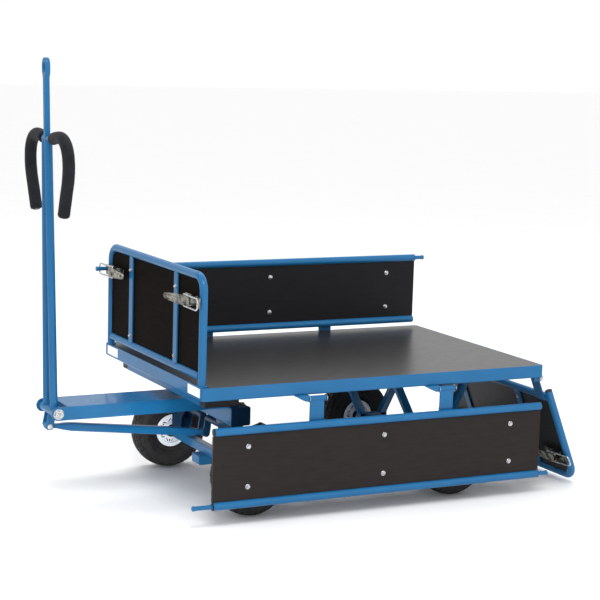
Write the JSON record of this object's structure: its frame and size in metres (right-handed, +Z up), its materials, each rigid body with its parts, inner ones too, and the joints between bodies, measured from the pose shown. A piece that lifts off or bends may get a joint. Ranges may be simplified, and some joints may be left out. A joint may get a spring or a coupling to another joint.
{
  "type": "folding platform cart",
  "caption": "Four-wheeled platform cart with turntable steering, a tilting brake drawbar with a horn handle, a fixed front wall and drop walls on the other sides.",
  "frame": {"origin": "centre of the bottom of the whole cart, on the ground", "axes": "+X forward towards the drawbar, +Y to the left of the cart, +Z up"},
  "size_m": [1.7852, 0.8964, 1.4019],
  "materials": {
    "blue_paint": "smooth satin powder coat, mid blue",
    "dark_paint": "semi-gloss black paint",
    "zinc": "bright zinc plating",
    "deck_ply": "dark brown phenolic film on plywood, satin",
    "wall_ply": "dark brown phenolic film on plywood, satin",
    "rim_grey": "light grey paint",
    "tyre": "matt black rubber with a block tread",
    "black_plastic": "moulded black",
    "grip_foam": "soft charcoal foam sleeve"
  },
  "bodies": {
    "chassis": {"platform_frame": "blue_paint", "deck_board": "deck_ply", "front_wall_frame": "blue_paint", "front_wall_panel": "wall_ply", "latch_base_front_left": "zinc", "latch_base_front_right": "zinc", "turntable_upper_ring": "zinc", "king_pin": "zinc", "rear_axle": "blue_paint", "rear_bracket_left": "blue_paint", "rear_bracket_right": "blue_paint", "hinge_pin_left_front": "zinc", "hinge_pin_left_rear": "zinc", "hinge_pin_right_front": "zinc", "hinge_pin_right_rear": "zinc", "hinge_pin_rear_left": "zinc", "hinge_pin_rear_right": "zinc"},
    "bogie": {"turntable_lower_ring": "zinc", "bolster_beam": "blue_paint", "front_axle": "blue_paint", "front_bracket_left": "dark_paint", "front_bracket_right": "dark_paint", "drawbar_arm": "blue_paint", "drawbar_bolt": "zinc"},
    "drawbar": {"drawbar_pole": "blue_paint", "handle_bar": "dark_paint", "grip_left": "grip_foam", "grip_right": "grip_foam", "rod_pin": "zinc"},
    "brake_rod": {"brake_rod": "blue_paint"},
    "brake_shaft": {"brake_shaft": "dark_paint"},
    "left_wall": {"left_wall_frame": "blue_paint", "left_wall_panel": "wall_ply"},
    "right_wall": {"right_wall_frame": "blue_paint", "right_wall_panel": "wall_ply"},
    "rear_wall": {"rear_wall_frame": "blue_paint", "rear_wall_panel": "wall_ply", "latch_base_rear_left": "zinc", "latch_base_rear_right": "zinc"},
    "wheel_front_left": {"tyre_front_left": "tyre", "rim_front_left": "rim_grey", "hub_front_left": "black_plastic"},
    "wheel_front_right": {"tyre_front_right": "tyre", "rim_front_right": "rim_grey", "hub_front_right": "black_plastic"},
    "wheel_rear_left": {"tyre_rear_left": "tyre", "rim_rear_left": "rim_grey", "hub_rear_left": "black_plastic"},
    "wheel_rear_right": {"tyre_rear_right": "tyre", "rim_rear_right": "rim_grey", "hub_rear_right": "black_plastic"},
    "lever_front_left": {"latch_lever_front_left": "zinc"},
    "bail_front_left": {"latch_bail_front_left": "zinc"},
    "lever_front_right": {"latch_lever_front_right": "zinc"},
    "bail_front_right": {"latch_bail_front_right": "zinc"},
    "lever_rear_left": {"latch_lever_rear_left": "zinc"},
    "bail_rear_left": {"latch_bail_rear_left": "zinc"},
    "lever_rear_right": {"latch_lever_rear_right": "zinc"},
    "bail_rear_right": {"latch_bail_rear_right": "zinc"}
  },
  "joints": [
    {"name": "steering", "type": "hinge", "parent": "chassis", "child": "bogie", "pos_m": [0.32064, -0.01125, 0.338], "axis": [0, 0, 1], "range_deg": [-45, 45]},
    {"name": "drawbar_tilt", "type": "hinge", "parent": "bogie", "child": "drawbar", "pos_m": [0.86164, -0.01125, 0.305], "axis": [0, 1, 0], "range_deg": [0, 90]},
    {"name": "brake_rod_pivot", "type": "hinge", "parent": "drawbar", "child": "brake_rod", "pos_m": [0.86857, -0.01125, 0.25384], "axis": [0, 1, 0], "range_deg": [-90, 0]},
    {"name": "brake_shaft_turn", "type": "hinge", "parent": "bogie", "child": "brake_shaft", "pos_m": [0.32764, -0.01125, 0.243], "axis": [0, 1, 0], "range_deg": [0, 90]},
    {"name": "wheel_front_left_spin", "type": "hinge", "parent": "bogie", "child": "wheel_front_left", "pos_m": [0.32064, 0.32475, 0.13], "axis": [0, 1, 0], "continuous": true},
    {"name": "wheel_front_right_spin", "type": "hinge", "parent": "bogie", "child": "wheel_front_right", "pos_m": [0.32064, -0.34725, 0.13], "axis": [0, 1, 0], "continuous": true},
    {"name": "wheel_rear_left_spin", "type": "hinge", "parent": "chassis", "child": "wheel_rear_left", "pos_m": [-0.41036, 0.32475, 0.13], "axis": [0, 1, 0], "continuous": true},
    {"name": "wheel_rear_right_spin", "type": "hinge", "parent": "chassis", "child": "wheel_rear_right", "pos_m": [-0.41036, -0.34725, 0.13], "axis": [0, 1, 0], "continuous": true},
    {"name": "left_wall_fold", "type": "hinge", "parent": "chassis", "child": "left_wall", "pos_m": [-0.09336, 0.41675, 0.378], "axis": [1, 0, 0], "range_deg": [0, 180]},
    {"name": "right_wall_fold", "type": "hinge", "parent": "chassis", "child": "right_wall", "pos_m": [-0.09336, -0.43925, 0.378], "axis": [1, 0, 0], "range_deg": [0, 180]},
    {"name": "rear_wall_fold", "type": "hinge", "parent": "chassis", "child": "rear_wall", "pos_m": [-0.71936, -0.01125, 0.378], "axis": [0, 1, 0], "range_deg": [0, 158]},
    {"name": "lever_front_left_open", "type": "hinge", "parent": "chassis", "child": "lever_front_left", "pos_m": [0.54064, 0.31875, 0.687], "axis": [0, 0, 1], "range_deg": [-10, 130]},
    {"name": "bail_front_left_swing", "type": "hinge", "parent": "lever_front_left", "child": "bail_front_left", "pos_m": [0.54643, 0.29743, 0.687], "axis": [0, 0, -1], "range_deg": [-12.5, 162.5]},
    {"name": "lever_front_right_open", "type": "hinge", "parent": "chassis", "child": "lever_front_right", "pos_m": [0.54064, -0.34125, 0.687], "axis": [0, 0, -1], "range_deg": [0, 140]},
    {"name": "bail_front_right_swing", "type": "hinge", "parent": "lever_front_right", "child": "bail_front_right", "pos_m": [0.54264, -0.31925, 0.687], "axis": [0, 0, 1], "range_deg": [0, 175]},
    {"name": "lever_rear_left_open", "type": "hinge", "parent": "rear_wall", "child": "lever_rear_left", "pos_m": [-0.8277, 0.31875, 0.0885], "axis": [0.3746, 0, 0.9272], "range_deg": [0, 140]},
    {"name": "bail_rear_left_swing", "type": "hinge", "parent": "lever_rear_left", "child": "bail_rear_left", "pos_m": [-0.82584, 0.29675, 0.08775], "axis": [-0.3746, 0, -0.9272], "range_deg": [0, 175]},
    {"name": "lever_rear_right_open", "type": "hinge", "parent": "rear_wall", "child": "lever_rear_right", "pos_m": [-0.8277, -0.34125, 0.0885], "axis": [-0.3746, 0, -0.9272], "range_deg": [0, 140]},
    {"name": "bail_rear_right_swing", "type": "hinge", "parent": "lever_rear_right", "child": "bail_rear_right", "pos_m": [-0.82584, -0.31925, 0.08775], "axis": [0.3746, 0, 0.9272], "range_deg": [0, 175]}
  ],
  "couplings": [
    {"joint": "brake_rod_pivot", "follows": "drawbar_tilt", "ratio": -1},
    {"joint": "brake_shaft_turn", "follows": "drawbar_tilt", "ratio": 1},
    {"joint": "bail_front_left_swing", "follows": "lever_front_left_open", "ratio": 1.25},
    {"joint": "bail_front_right_swing", "follows": "lever_front_right_open", "ratio": 1.25},
    {"joint": "bail_rear_left_swing", "follows": "lever_rear_left_open", "ratio": 1.25},
    {"joint": "bail_rear_right_swing", "follows": "lever_rear_right_open", "ratio": 1.25}
  ]
}
